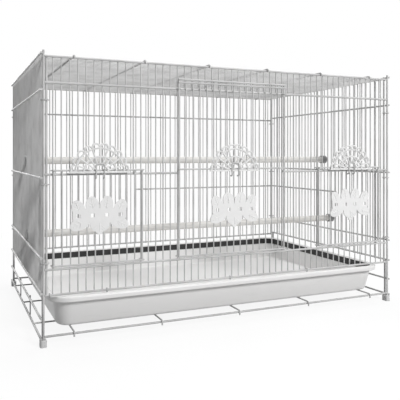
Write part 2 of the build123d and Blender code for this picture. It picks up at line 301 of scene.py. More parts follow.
def grey(level: float, warmth: float = 0.0) -> tuple[float, float, float, float]:
    """A nearly grey colour.

    Args:
        level: Its linear brightness.
        warmth: How much red is added and blue taken away.

    Returns:
        The colour with full cover.
    """
    return (level + warmth, level, level - warmth, 1.0)


class Finish:
    """A finish that makes its own material."""

    def build(self, name: str) -> bpy.types.Material:
        """Makes the material.

        Args:
            name: The material's name.

        Returns:
            The material.
        """
        shader = Shader(name)
        self.fill(shader)
        return shader.material

    def fill(self, shader: Shader) -> None:
        """Each finish paints the shader in its own way."""
        raise NotImplementedError


@dataclass(frozen=True)
class CoatedWire(Finish):
    """Steel wire under a smooth white powder coat, a little thin and grey in places."""

    light: float = 0.58
    dull: float = 0.44
    warmth: float = 0.002
    clouds: Cloud = Cloud(0.035, 4.0)
    grain: Cloud = Cloud(0.0011, 2.0)
    bump: Bump = Bump(0.00006, 0.6)
    worn_from: float = 0.42
    worn_gain: float = 3.2
    roughness: float = 0.38
    roughness_spread: float = 0.16
    shine: float = 0.22

    def fill(self, shader: Shader) -> None:
        """Greys the coat where it is worn and gives it a fine grain.

        Args:
            shader: The shader to paint.
        """
        clouds = shader.noise(self.clouds)
        worn = ((clouds - self.worn_from) * self.worn_gain).clipped()
        shader.paint(
            shader.blend(worn, grey(self.light, self.warmth), grey(self.dull, self.warmth)),
            self.roughness + clouds * self.roughness_spread,
            shader.bump(shader.noise(self.grain), self.bump),
            self.shine,
        )


@dataclass(frozen=True)
class MouldedTray(Finish):
    """Glossy off-white moulded plastic with faint flow marks and fine scuffs."""

    light: float = 0.80
    dull: float = 0.74
    warmth: float = 0.006
    flow: Cloud = Cloud(0.11, 4.0, (0.4, 1.0, 1.0))
    scuffs: Cloud = Cloud(0.004, 5.0, (0.12, 1.0, 1.0))
    peel: Cloud = Cloud(0.0022, 2.0)
    bump: Bump = Bump(0.00005, 0.5)
    scuff_edge: float = 0.63
    scuff_share: float = 0.35
    flow_share: float = 0.9
    clean_share: float = 0.2
    roughness: float = 0.26
    flow_roughness: float = 0.12
    scuff_roughness: float = 0.08
    flow_height: float = 2.0
    shine: float = 0.5

    def fill(self, shader: Shader) -> None:
        """Dulls the plastic along its flow marks and in its scuffs.

        Args:
            shader: The shader to paint.
        """
        flow = shader.noise(self.flow)
        scuffs = shader.noise(self.scuffs)
        scratched = scuffs.above(self.scuff_edge) * self.scuff_share
        marked = (scratched + flow * self.flow_share - self.clean_share).clipped()
        shader.paint(
            shader.blend(marked, grey(self.light, self.warmth), grey(self.dull, self.warmth)),
            self.roughness + flow * self.flow_roughness + scuffs * self.scuff_roughness,
            shader.bump(shader.noise(self.peel) + flow * self.flow_height, self.bump),
            self.shine,
        )


@dataclass(frozen=True)
class PerchWood(Finish):
    """Pale turned wood with long thin grain along the dowel."""

    light: tuple[float, float, float, float] = (0.76, 0.75, 0.73, 1.0)
    dark: tuple[float, float, float, float] = (0.58, 0.56, 0.53, 1.0)
    grain: Cloud = Cloud(0.0022, 4.0, (0.03, 1.0, 1.0))
    bands: Cloud = Cloud(0.012, 3.0, (0.08, 1.0, 1.0))
    pores: Cloud = Cloud(0.0008, 2.0, (0.05, 1.0, 1.0))
    bump: Bump = Bump(0.00012, 0.7)
    grain_from: float = 0.40
    grain_gain: float = 2.2
    band_from: float = 0.5
    band_gain: float = 0.8
    pore_height: float = 0.5
    roughness: float = 0.55
    roughness_spread: float = 0.2
    shine: float = 0.35

    def fill(self, shader: Shader) -> None:
        """Darkens the wood along its grain and its bands.

        Args:
            shader: The shader to paint.
        """
        grain = shader.noise(self.grain)
        bands = shader.noise(self.bands)
        streaks = (grain - self.grain_from) * self.grain_gain + (bands - self.band_from) * self.band_gain
        shader.paint(
            shader.blend(streaks.clipped(), self.light, self.dark),
            self.roughness + grain * self.roughness_spread,
            shader.bump(grain + shader.noise(self.pores) * self.pore_height, self.bump),
            self.shine,
        )


@dataclass(frozen=True)
class SatinPlastic(Finish):
    """Moulded plastic with a faint mottle in its colour and sheen, and a fine peel."""

    light: float
    dull: float
    warmth: float = 0.0
    clouds: Cloud = Cloud(0.006, 3.0)
    peel: Cloud = Cloud(0.0007, 2.0)
    bump: Bump = Bump(0.00005, 0.6)
    roughness: float = 0.42
    roughness_spread: float = 0.15
    shine: float = 0.5

    def fill(self, shader: Shader) -> None:
        """Mottles the plastic and gives it its peel.

        Args:
            shader: The shader to paint.
        """
        clouds = shader.noise(self.clouds)
        shader.paint(
            shader.blend(clouds, grey(self.light, self.warmth), grey(self.dull, self.warmth)),
            self.roughness + clouds * self.roughness_spread,
            shader.bump(shader.noise(self.peel), self.bump),
            self.shine,
        )


@dataclass(frozen=True)
class OrnamentPlastic(SatinPlastic):
    """Thin white moulded plastic with a soft sheen."""

    light: float = 0.82
    dull: float = 0.74
    warmth: float = 0.003
    clouds: Cloud = Cloud(0.012, 3.0)
    peel: Cloud = Cloud(0.0009, 2.0)
    bump: Bump = Bump(0.00004, 0.5)
    roughness: float = 0.34
    roughness_spread: float = 0.12


@dataclass(frozen=True)
class PaintedShadeFinish(SatinPlastic):
    """Black painted shade for the gap between the tray's rim and the panels' bottom rails, with a dull,
    faintly mottled face.
    """

    light: float = 0.030
    dull: float = 0.018
    clouds: Cloud = Cloud(0.008, 3.0)
    peel: Cloud = Cloud(0.0008, 2.0)
    roughness: float = 0.55
    roughness_spread: float = 0.2
    shine: float = 0.3


class Finishes:
    """One material for each kind of surface, made once."""

    def __init__(self) -> None:
        """Builds every material."""
        self.wire = CoatedWire().build("white_coated_wire")
        self.tray = MouldedTray().build("off_white_tray_plastic")
        self.ornament = OrnamentPlastic().build("white_ornament_plastic")
        self.wood = PerchWood().build("pale_perch_wood")
        self.cap = SatinPlastic(0.34, 0.27).build("grey_cap_plastic")
        self.foot = SatinPlastic(0.66, 0.58).build("white_foot_plastic")
        # Near-black material for the strip of painted shade in the gap under the panels' bottom rails.
        self.painted_shade = PaintedShadeFinish().build("painted_shade_black")


def dress(piece: bpy.types.Object, material: bpy.types.Material) -> None:
    """Gives an object one material.

    Args:
        piece: The object.
        material: The material for all its slots.
    """
    if not piece.data.materials:
        piece.data.materials.append(material)
    for slot in piece.material_slots:
        slot.material = material


def new_piece(
    name: str, points: np.ndarray, faces: Iterable[Iterable[int]], smooth: bool = True
) -> bpy.types.Object:
    """Makes an object from points and faces.

    Args:
        name: The object's name.
        points: One row of three metres for each point.
        faces: The places of each face's points.
        smooth: Whether its faces share soft edges.

    Returns:
        The new object at the origin.
    """
    mesh = bpy.data.meshes.new(name)
    mesh.from_pydata(points.tolist(), [], [tuple(face) for face in faces])
    mesh.update()
    mesh.polygons.foreach_set("use_smooth", np.full(len(mesh.polygons), smooth))
    piece = bpy.data.objects.new(name, mesh)
    bpy.context.scene.collection.objects.link(piece)
    return piece


def grid_faces(rows: int, columns: int) -> np.ndarray:
    """Faces of a grid of points kept row by row, whose last column joins the first.

    Args:
        rows: How many rows it has.
        columns: How many points each row has.

    Returns:
        Four places for each face.
    """
    across = np.arange(columns)
    down = np.arange(rows - 1)[:, None]
    left = down * columns + across
    right = down * columns + (across + 1) % columns
    quads = np.stack([left, right, right + columns, left + columns], axis=-1)
    return quads.reshape(-1, 4)


def finish_bmesh(piece: bpy.types.Object, angle: float = SHARP_ANGLE) -> None:
    """Merges doubled points, then makes all but the sharp edges soft.

    Args:
        piece: The object whose mesh is cleaned.
        angle: The angle in degrees past which an edge stays sharp.
    """
    work = bmesh.new()
    work.from_mesh(piece.data)
    bmesh.ops.remove_doubles(work, verts=work.verts, dist=MERGE_DISTANCE)
    for face in work.faces:
        face.smooth = True
    bmesh.ops.recalc_face_normals(work, faces=work.faces)
    for edge in work.edges:
        flat = len(edge.link_faces) == 2 and edge.calc_face_angle(0.0) < math.radians(angle)
        edge.smooth = flat
    work.to_mesh(piece.data)
    work.free()


def smooth_copy(node: str, frame: dict[str, Any]) -> bpy.types.Object:
    """Copies a node of the frame with soft shading, in the same place and size.

    Args:
        node: The node's name.
        frame: The loaded frame.

    Returns:
        The copy, which stands for the node.
    """
    source = frame["nodes"][node]
    piece = bpy.data.objects.new(f"{node}_soft", source.data.copy())
    bpy.context.scene.collection.objects.link(piece)
    finish_bmesh(piece)
    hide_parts(node)
    return piece


@dataclass
class Box:
    """The lowest and highest corners of a piece, in metres."""

    low: np.ndarray
    high: np.ndarray

    @property
    def centre(self) -> np.ndarray:
        """The middle of the box."""
        return (self.low + self.high) / 2

    @property
    def size(self) -> np.ndarray:
        """The lengths of its sides."""
        return self.high - self.low


@dataclass
class Wire(Box):
    """One straight wire, read from the frame."""

    axis: Axis

    @property
    def radius(self) -> float:
        """Half the wire's thickness."""
        return float(np.delete(self.size, self.axis.value).min() / 2)


def mesh_points(piece: bpy.types.Object) -> np.ndarray:
    """Reads the points of a mesh.

    Args:
        piece: The object.

    Returns:
        Rows of three metres.
    """
    points = np.zeros(len(piece.data.vertices) * 3)
    piece.data.vertices.foreach_get("co", points)
    return points.reshape(-1, 3)


def loose_parts(piece: bpy.types.Object) -> list[np.ndarray]:
    """Splits a merged mesh into the points of its separate solids.

    Args:
        piece: An object whose doubled points are merged.

    Returns:
        The points of each separate solid.
    """
    points = mesh_points(piece)
    edges = np.zeros(len(piece.data.edges) * 2, dtype=np.int64)
    piece.data.edges.foreach_get("vertices", edges)
    edges = edges.reshape(-1, 2)
    label = np.arange(len(points))
    changed = True
    while changed:
        lowest = np.minimum(label[edges[:, 0]], label[edges[:, 1]])
        before = label.copy()
        np.minimum.at(label, edges[:, 0], lowest)
        np.minimum.at(label, edges[:, 1], lowest)
        label = label[label]
        changed = bool((label != before).any())
    return [points[label == key] for key in np.unique(label)]


def straight_wires(piece: bpy.types.Object) -> list[Wire]:
    """Reads the straight wires of a merged copy of a node.

    Args:
        piece: The copy.

    Returns:
        Its straight wires.
    """
    wires = []
    for points in loose_parts(piece):
        box = Box(points.min(0), points.max(0))
        axis = int(box.size.argmax())
        across = np.delete(box.size, axis)
        if across.max() < ROUNDNESS * across.min():
            wires.append(Wire(box.low, box.high, Axis(axis)))
    return wires


@dataclass
class Welds:
    """Small paint-filled beads where two wires of one panel cross and touch."""

    reach: float = 0.25 * MILLIMETRE
    beads_around: int = 8
    beads_up: int = 5
    rail_share: float = 1.25
    bar_share: float = 0.95
    bulge: float = 0.55
    sharp_angle: float = 180.0

    def crossings(self, rails: list[Wire], bars: list[Wire]) -> list[tuple[np.ndarray, np.ndarray]]:
        """Finds where wires of two sets touch.

        Args:
            rails: The wires of one set.
            bars: The wires of the other set.

        Returns:
            The place and the three half sizes of each bead.
        """
        found = []
        for rail in rails:
            for bar in bars:
                if rail.axis == bar.axis:
                    continue
                along, across = rail.axis.value, bar.axis.value
                third = 3 - along - across
                gap = abs(rail.centre[third] - bar.centre[third]) - rail.radius - bar.radius
                inside = rail.low[across] < bar.high[across] + self.reach
                inside &= rail.high[across] > bar.low[across] - self.reach
                inside &= rail.low[along] < bar.centre[along] < rail.high[along]
                if gap > self.reach or not inside:
                    continue
                place = np.zeros(3)
                place[along] = bar.centre[along]
                place[across] = rail.centre[across]
                toward = np.sign(bar.centre[third] - rail.centre[third])
                place[third] = rail.centre[third] + toward * rail.radius
                half = np.zeros(3)
                half[along] = bar.radius * self.rail_share
                half[across] = rail.radius * self.bar_share
                half[third] = min(bar.radius, rail.radius) * self.bulge
                found.append((place, half))
        return found

    def build(self, name: str, beads: list[tuple[np.ndarray, np.ndarray]]) -> bpy.types.Object:
        """Makes all the beads of one body as one piece.

        Each bead is an ellipsoid: the place plus the half sizes times the point of a ball at
        turning angle u and rising angle v.

        Args:
            name: The piece's name.
            beads: The place and half sizes of each bead.

        Returns:
            The piece.
        """
        turn = np.linspace(0.0, 2 * np.pi, self.beads_around, endpoint=False)
        rise = np.linspace(-0.5 * np.pi, 0.5 * np.pi, self.beads_up + 2)
        u, v = np.meshgrid(turn, rise)
        ball = np.stack([np.cos(v) * np.cos(u), np.cos(v) * np.sin(u), np.sin(v)], axis=-1).reshape(-1, 3)
        faces = grid_faces(len(rise), len(turn))
        places = np.array([place for place, _ in beads])
        halves = np.array([half for _, half in beads])
        points = places[:, None, :] + halves[:, None, :] * ball[None, :, :]
        steps = np.arange(len(beads))[:, None, None] * len(ball)
        piece = new_piece(name, points.reshape(-1, 3), (faces[None, :, :] + steps).reshape(-1, 4))
        finish_bmesh(piece, self.sharp_angle)
        return piece


@dataclass
class Wirework:
    """The wire pieces of one body, with soft shading and beads at their welds."""

    body: Body
    panels: list[tuple[str, ...]]
    others: list[str] = field(default_factory=list)

    def build(self, frame: dict[str, Any], finishes: Finishes) -> None:
        """Copies the wires with soft shading and adds the beads.

        Args:
            frame: The loaded frame.
            finishes: The materials.
        """
        welds = Welds()
        beads: list[tuple[np.ndarray, np.ndarray]] = []
        pieces = []
        for names in self.panels:
            sets = []
            for node in names:
                piece = smooth_copy(node, frame)
                pieces.append(piece)
                sets.append(straight_wires(piece))
            for first in range(len(sets)):
                for second in range(first, len(sets)):
                    beads.extend(welds.crossings(sets[first], sets[second]))
        for node in self.others:
            pieces.append(smooth_copy(node, frame))
        if beads:
            pieces.append(welds.build(f"{self.body.value}_weld_beads", beads))
        for piece in pieces:
            dress(piece, finishes.wire)
            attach(piece, self.body.value)


@dataclass
class SmoothNodes:
    """Moulded or turned nodes of one body that keep their shape and get their finish."""

    body: Body
    nodes: list[str]
    slot: str

    def build(self, frame: dict[str, Any], material: bpy.types.Material) -> list[bpy.types.Object]:
        """Copies the nodes with soft shading and dresses them.

        Args:
            frame: The loaded frame.
            material: Their material.

        Returns:
            The new pieces.
        """
        pieces = []
        for node in self.nodes:
            piece = smooth_copy(node, frame)
            dress(piece, material)
            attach(piece, self.body.value)
            pieces.append(piece)
        return pieces


def mesh_box(piece: bpy.types.Object) -> Box:
    """The box round a mesh."""
    points = mesh_points(piece)
    return Box(points.min(0), points.max(0))


def bow(
    centre: tuple[float, float], radius: float, start: float, end: float, steps: int
) -> list[tuple[float, float]]:
    """Points of an arc in a flat section.

    Args:
        centre: The arc's centre.
        radius: Its radius.
        start: The angle in degrees at which it starts.
        end: The angle at which it ends.
        steps: How many steps it has.

    Returns:
        The points, one more than the steps.
    """
    angles = np.radians(np.linspace(start, end, steps + 1))
    return [(centre[0] + radius * math.cos(a), centre[1] + radius * math.sin(a)) for a in angles]


@dataclass
class TrayShell:
    """The drawn tray as one smooth skin: a section carried round a rounded rectangle.

    The section runs from the middle of the underside up the outer wall, round the turned-down
    rim and down the inner wall to the middle of the floor. Each point of it is an inset from
    the rim's outer edge and a height, both in millimetres.
    """

    wall: float = 1.8
    floor: float = 2.0
    rim_width: float = 7.0
    rim_skirt: float = 7.5
    rim_roll: float = 2.6
    inner_roll: float = 1.6
    taper: float = 14.0
    end_taper: float = 8.0
    low_corner: float = 19.0
    high_corner: float = 26.0
    floor_round: float = 7.0
    corner_steps: int = 14
    side_steps: int = 6
    floor_steps: int = 8
    skirt_steps: int = 6
    rim_steps: int = 7
    lip_steps: int = 5
    sharp_angle: float = 40.0

    def wall_face(self, height: float, z: float, inward: float = 0.0) -> float:
        """Inset of the wall's face at a height, or of a face that lies inward of it."""
        return self.rim_width + self.taper - self.taper * z / height + inward

    def section(self, height: float, reach: float) -> np.ndarray:
        """The section's points.

        Args:
            height: The tray's height.
            reach: The inset of the tray's middle line.

        Returns:
            Rows of inset and height.
        """
        lean = math.degrees(math.atan2(self.taper, height))
        slant = 1.0 / math.cos(math.radians(lean))
        low = self.floor_round
        inner = self.floor_round - self.floor
        half = self.wall / 2
        roll = self.rim_roll
        lip = self.inner_roll
        under = height - self.wall
        skirt = height - self.rim_skirt + half
        inner_z = self.floor + inner
        low_centre = (self.wall_face(height, low, low * slant), low)
        inner_centre = (self.wall_face(height, inner_z, self.wall + inner * slant), inner_z)
        lip_centre = (self.wall_face(height, height - lip, self.wall - lip * slant), height - lip)
        points = [(reach, 0.0)]
        points += bow(low_centre, low, 270.0, 180.0 + lean, self.floor_steps)
        points += [(self.wall_face(height, under), under)]
        points += [(self.wall, under), (self.wall, skirt)]
        points += bow((half, skirt), half, 360.0, 180.0, self.skirt_steps)[1:]
        points += bow((roll, height - roll), roll, 180.0, 90.0, self.rim_steps)
        points += bow(lip_centre, lip, 90.0, lean, self.lip_steps)
        points += bow(inner_centre, inner, 180.0 + lean, 270.0, self.floor_steps)
        points += [(reach, self.floor)]
        return np.array(points)

    def loop(self, half_length: float, half_depth: float, corner: float) -> np.ndarray:
        """One turn round a rounded rectangle.

        Args:
            half_length: Half its length.
            half_depth: Half its depth.
            corner: Its corner radius.

        Returns:
            Rows of x and y.
        """
        corner = max(min(corner, half_length, half_depth), 0.0)
        points = []
        middles = [(1, 1), (-1, 1), (-1, -1), (1, -1)]
        for number, (side_x, side_y) in enumerate(middles):
            centre = (side_x * (half_length - corner), side_y * (half_depth - corner))
            points += bow(centre, corner, 90.0 * number, 90.0 * (number + 1), self.corner_steps)
            following = middles[(number + 1) % 4]
            start = np.array(points[-1])
            angle = math.radians(90.0 * (number + 1))
            end = np.array([following[0] * (half_length - corner), following[1] * (half_depth - corner)])
            end = end + corner * np.array([math.cos(angle), math.sin(angle)])
            for step in range(1, self.side_steps):
                points.append(tuple(start + (end - start) * step / self.side_steps))
        return np.array(points)

    def build(self, name: str, box: Box) -> bpy.types.Object:
        """Makes the tray in a given box.

        Args:
            name: The piece's name.
            box: The tray's box.

        Returns:
            The piece.
        """
        size = box.size / MILLIMETRE
        rows = self.section(size[2], size[1] / 2)
        points = np.array([self.ring(inset, z, box) for inset, z in rows])
        faces = grid_faces(len(rows), points.shape[1])
        piece = new_piece(name, points.reshape(-1, 3), faces)
        finish_bmesh(piece, self.sharp_angle)
        return piece

    def ring(self, inset: float, z: float, box: Box) -> np.ndarray:
        """One turn of the skin, at one point of the section.

        Args:
            inset: The distance from the rim's outer edge, in millimetres.
            z: The height above the tray's underside, in millimetres.
            box: The tray's box.

        Returns:
            Rows of three metres.
        """
        size = box.size / MILLIMETRE
        share = z / size[2]
        wall_inset = self.rim_width + self.taper * (1 - share)
        wall_corner = self.low_corner + (self.high_corner - self.low_corner) * share
        corner = wall_corner - (inset - wall_inset)
        upright = (self.taper - self.end_taper) * (1 - share) * min(inset / self.rim_width, 1.0)
        flat = self.loop(size[0] / 2 - inset + upright, size[1] / 2 - inset, corner)
        points = np.column_stack([flat, np.full(len(flat), z)]) * MILLIMETRE
        return points + np.array([*box.centre[:2], box.low[2]])


@dataclass
class PaintedShadeStrip:
    """Thin dark strip round the upper inside of the tray's walls: painted shade where the gap between the
    tray's rim and the panels' bottom rails falls dark.
    """

    top_drop: float = 1.6
    height: float = 11.0
    thickness: float = 0.5
    sunk: float = 0.1
    sharp_angle: float = 30.0

    def build(self, name: str, tray: TrayShell, box: Box) -> bpy.types.Object:
        """Makes the strip on the tray's walls.

        Args:
            name: The piece's name.
            tray: The tray whose walls it follows.
            box: The tray's box.

        Returns:
            The piece.
        """
        tall = box.size[2] / MILLIMETRE
        upper = tall - self.top_drop
        lower = upper - self.height
        front, back = self.thickness, -self.sunk
        rings = []
        for z, depth in [(upper, back), (upper, front), (lower, front), (lower, back), (upper, back)]:
            inset = tray.rim_width + tray.wall + tray.taper * (1 - z / tall) + depth
            rings.append(tray.ring(inset, z, box))
        points = np.array(rings)
        piece = new_piece(name, points.reshape(-1, 3), grid_faces(len(rings), points.shape[1]))
        finish_bmesh(piece, self.sharp_angle)
        return piece


@dataclass
class Tube:
    """Round wires and ridges that follow a path of points."""

    sides: int = 8
    straight: float = 1e-12
    steep: float = 0.9
    sharp_angle: float = 60.0

    def skin(self, path: np.ndarray, radius: float, closed: bool) -> tuple[np.ndarray, np.ndarray]:
        """Points and faces of one tube.

        At every point of the path stands a circle: the point plus the radius times the cosine
        of the turning angle along one cross direction and its sine along the other.

        Args:
            path: Rows of three metres.
            radius: The tube's radius in metres.
            closed: Whether the path ends where it starts.

        Returns:
            The points and the faces.
        """
        if closed:
            along = np.roll(path, -1, axis=0) - np.roll(path, 1, axis=0)
        else:
            along = np.gradient(path, axis=0)
        along /= np.linalg.norm(along, axis=1)[:, None]
        normal = np.cross(path[1] - path[0], path[-1 if not closed else len(path) // 2] - path[0])
        if np.linalg.norm(normal) < self.straight:
            spare = (0.0, 1.0, 0.0) if abs(along[0][1]) < self.steep else (1.0, 0.0, 0.0)
            normal = np.cross(along[0], spare)
        first = np.tile(normal / np.linalg.norm(normal), (len(path), 1))
        second = np.cross(along, first)
        turn = np.linspace(0.0, 2 * np.pi, self.sides, endpoint=False)[None, :, None]
        circle = np.cos(turn) * first[:, None, :] + np.sin(turn) * second[:, None, :]
        points = (path[:, None, :] + radius * circle).reshape(-1, 3)
        rows = len(path)
        if closed:
            points = np.vstack([points, points[: self.sides]])
            return points, grid_faces(rows + 1, self.sides)
        tips = np.vstack([np.repeat(path[:1], self.sides, 0), points, np.repeat(path[-1:], self.sides, 0)])
        return tips, grid_faces(rows + 2, self.sides)

    def build(self, name: str, paths: list[tuple[np.ndarray, float, bool]]) -> bpy.types.Object:
        """Makes several tubes as one piece.

        Args:
            name: The piece's name.
            paths: The path, the radius and whether it is closed, for each tube.

        Returns:
            The piece.
        """
        points, faces, count = [], [], 0
        for path, radius, closed in paths:
            some, quads = self.skin(path, radius, closed)
            points.append(some)
            faces.append(quads + count)
            count += len(some)
        piece = new_piece(name, np.vstack(points), np.vstack(faces))
        finish_bmesh(piece, self.sharp_angle)
        return piece


@dataclass
class FanRelief:
    """Half-round ridges on the front of a fan: its rings, rays and scallops."""

    radius: float = 43.0
    ring_width: float = 2.6
    inner_radius: float = 13.0
    middle_radius: float = 24.5
    rays: int = 9
    ridge: float = 0.75
    ridge_sides: int = 6
    ring_points: int = 40
    ray_points: int = 8
    scallop_points: int = 14
    strip_points: int = 12

    def build(self, name: str, box: Box) -> bpy.types.Object:
        """Makes the ridges on a fan.

        Args:
            name: The piece's name.
            box: The fan's box.

        Returns:
            The piece.
        """
        gap = math.pi / (self.rays + 1)
        scallop = self.radius * math.sin(gap / 2)
        rim = self.radius - scallop
        half = self.ring_width / 2
        paths = []
        for radius in (rim, self.middle_radius, self.inner_radius):
            start = math.asin(half * 2 / (radius - half))
            angles = np.linspace(start, math.pi - start, self.ring_points)
            paths.append(self.flat(angles, np.full(self.ring_points, radius - half)))
        for number in range(1, self.rays + 1):
            reach = np.linspace(self.inner_radius - half, rim - half, self.ray_points)
            paths.append(self.flat(np.full(self.ray_points, number * gap), reach))
        for number in range(self.rays + 1):
            angle = (number + 0.5) * gap
            turn = np.linspace(-0.5 * math.pi, 0.5 * math.pi, self.scallop_points)
            x = rim + (scallop - half) * np.cos(turn)
            y = (scallop - half) * np.sin(turn)
            turned = np.column_stack(
                [x * math.cos(angle) - y * math.sin(angle), x * math.sin(angle) + y * math.cos(angle)]
            )
            paths.append(turned[turned[:, 1] > half * 2])
        ends = np.linspace(-self.radius + half, self.radius - half, self.strip_points)
        paths.append(np.column_stack([ends, np.full(self.strip_points, half)]))
        tubes = []
        for path in paths:
            x = box.centre[0] + path[:, 0] * MILLIMETRE
            z = box.low[2] + path[:, 1] * MILLIMETRE
            points = np.column_stack([x, np.full(len(path), box.low[1]), z])
            tubes.append((points, self.ridge * MILLIMETRE, False))
        return Tube(self.ridge_sides).build(name, tubes)

    def flat(self, angles: np.ndarray, reach: np.ndarray) -> np.ndarray:
        """Points at some angles and distances from the fan's centre.

        Args:
            angles: The angles.
            reach: The distances.

        Returns:
            Rows of x and height.
        """
        return np.column_stack([reach * np.cos(angles), reach * np.sin(angles)])


@dataclass(frozen=True)
class Leaf:
    """One leaf on the right of a plaque, in millimetres, with its tilt away from upright in degrees."""

    x: float
    z: float
    length: float
    width: float
    tilt: float


@dataclass
class LeafRelief:
    """Raised veins on the leaves of a plaque."""

    inner: Leaf = Leaf(10.0, 13.0, 28.0, 19.0, 10.0)
    outer: Leaf = Leaf(30.0, 10.0, 25.0, 17.5, 24.0)
    lower: Leaf = Leaf(28.0, -11.0, 29.0, 17.0, 112.0)
    foot: Leaf = Leaf(0.0, -14.0, 22.0, 26.0, 180.0)
    stem_drop: float = 27.0
    vein: float = 0.55
    side_vein: float = 0.4
    side_veins: int = 3
    vein_back: float = 0.12
    vein_ahead: float = 0.42
    first_root: float = 0.3
    spread: float = 0.30
    spread_loss: float = 0.06
    forward: float = 0.8
    vein_sides: int = 6
    vein_points: int = 5

    def build(self, name: str, box: Box) -> bpy.types.Object:
        """Makes the veins on a plaque.

        Args:
            name: The piece's name.
            box: The plaque's box.

        Returns:
            The piece.
        """
        leaves = [(side, leaf) for side in (-1, 1) for leaf in (self.inner, self.outer, self.lower)]
        centre = np.array([box.centre[0], box.low[1], box.low[2] + self.stem_drop * MILLIMETRE])
        tubes = []
        for side, leaf in leaves + [(1, self.foot)]:
            tubes += self.veins(centre, side, leaf)
        return Tube(self.vein_sides).build(name, tubes)

    def veins(self, centre: np.ndarray, side: int, leaf: Leaf) -> list[tuple[np.ndarray, float, bool]]:
        """The middle vein of one leaf and its side veins.

        Args:
            centre: The plaque's centre on its front face.
            side: One for the leaf itself, and minus one for its mirror image.
            leaf: The leaf.

        Returns:
            The path, radius and open end of each vein.
        """
        heading = math.radians(90.0 - side * leaf.tilt)
        along = np.array([math.cos(heading), math.sin(heading)])
        across = np.array([-along[1], along[0]])
        middle = np.array([side * leaf.x, leaf.z])
        start = middle - along * leaf.length * self.vein_back
        tip = middle + along * leaf.length * self.vein_ahead
        found = [self.line(centre, start, tip, self.vein)]
        for number in range(self.side_veins):
            root = start + (tip - start) * (number + self.first_root) / self.side_veins
            spread = leaf.width * (self.spread - self.spread_loss * number)
            for hand in (-1, 1):
                end = root + hand * across * spread + along * spread * self.forward
                found.append(self.line(centre, root, end, self.side_vein))
        return found

    def line(
        self, centre: np.ndarray, start: np.ndarray, end: np.ndarray, radius: float
    ) -> tuple[np.ndarray, float, bool]:
        """One straight vein.

        Args:
            centre: The plaque's centre on its front face.
            start: Where the vein starts, in millimetres from the centre.
            end: Where it ends.
            radius: Its radius.

        Returns:
            The path, radius and open end for a tube.
        """
        flat = start + (end - start) * np.linspace(0.0, 1.0, self.vein_points)[:, None]
        points = np.column_stack([flat[:, 0], np.zeros(len(flat)), flat[:, 1]]) * MILLIMETRE + centre
        return points, radius * MILLIMETRE, False


@dataclass
class RailClips:
    """Small wire rings round the front panel's bottom rail."""

    places: tuple[float, ...] = (-293.0, -213.0, -16.0, 128.0)
    rail_y: float = -198.4
    rail_z: float = 70.0
    ring: float = 2.6
    wire: float = 0.8
    points: int = 20

    def build(self, name: str) -> bpy.types.Object:
        """Makes the rings.

        Args:
            name: The piece's name.

        Returns:
            The piece.
        """
        turn = np.linspace(0.0, 2 * np.pi, self.points, endpoint=False)
        y = self.rail_y + self.ring * np.cos(turn)
        z = self.rail_z + self.ring * np.sin(turn)
        tubes = []
        for x in self.places:
            path = np.column_stack([np.full(self.points, x), y, z]) * MILLIMETRE
            tubes.append((path, self.wire * MILLIMETRE, True))
        return Tube().build(name, tubes)


@dataclass(frozen=True)
class Lamp:
    """A square lamp: where it hangs, the point that it faces, its side in metres and its watts."""

    name: str
    place: tuple[float, float, float]
    target: tuple[float, float, float]
    size: float
    power: float


